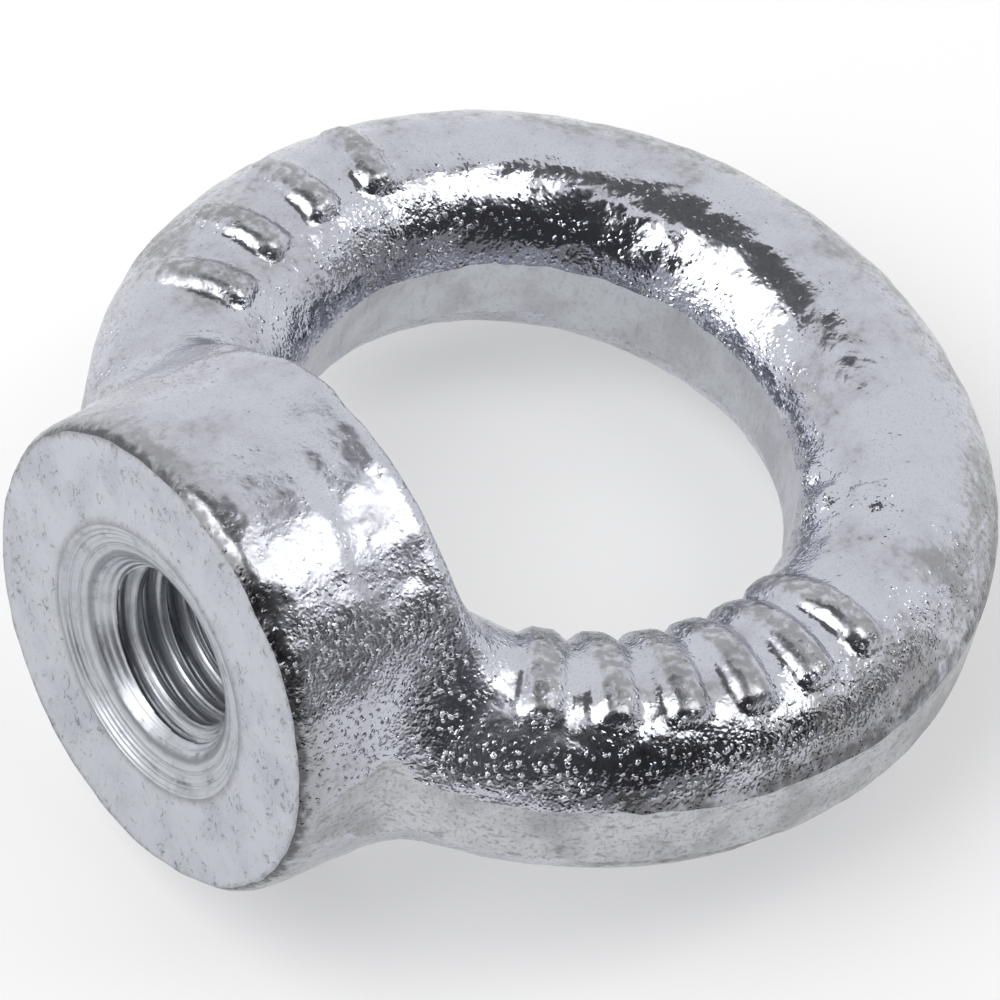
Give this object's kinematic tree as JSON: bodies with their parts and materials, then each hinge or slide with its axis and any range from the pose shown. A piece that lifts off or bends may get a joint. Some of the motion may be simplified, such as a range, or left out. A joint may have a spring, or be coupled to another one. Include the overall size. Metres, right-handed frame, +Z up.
{
  "type": "lifting eye nut",
  "caption": "Forged lifting eye nut: a round eye on a short barrel with a faced seat and a threaded bore, hot-dip zinc coated.",
  "frame": {"origin": "on the ground, below the middle of the box round the part as it lies at rest", "axes": "+Z up; +X along the part, from the seat face to the far side of the ring; the thread's axis leans 12.5 degrees from X, so that the seat faces -X and a little up"},
  "size_m": [0.0502, 0.0468, 0.027],
  "materials": {
    "zinc_coated_steel": "hot-dip zinc on forged steel, mottled pale grey, smooth and bright on the slopes"
  },
  "bodies": {
    "root": {"eye_nut": "zinc_coated_steel"}
  },
  "joints": []
}
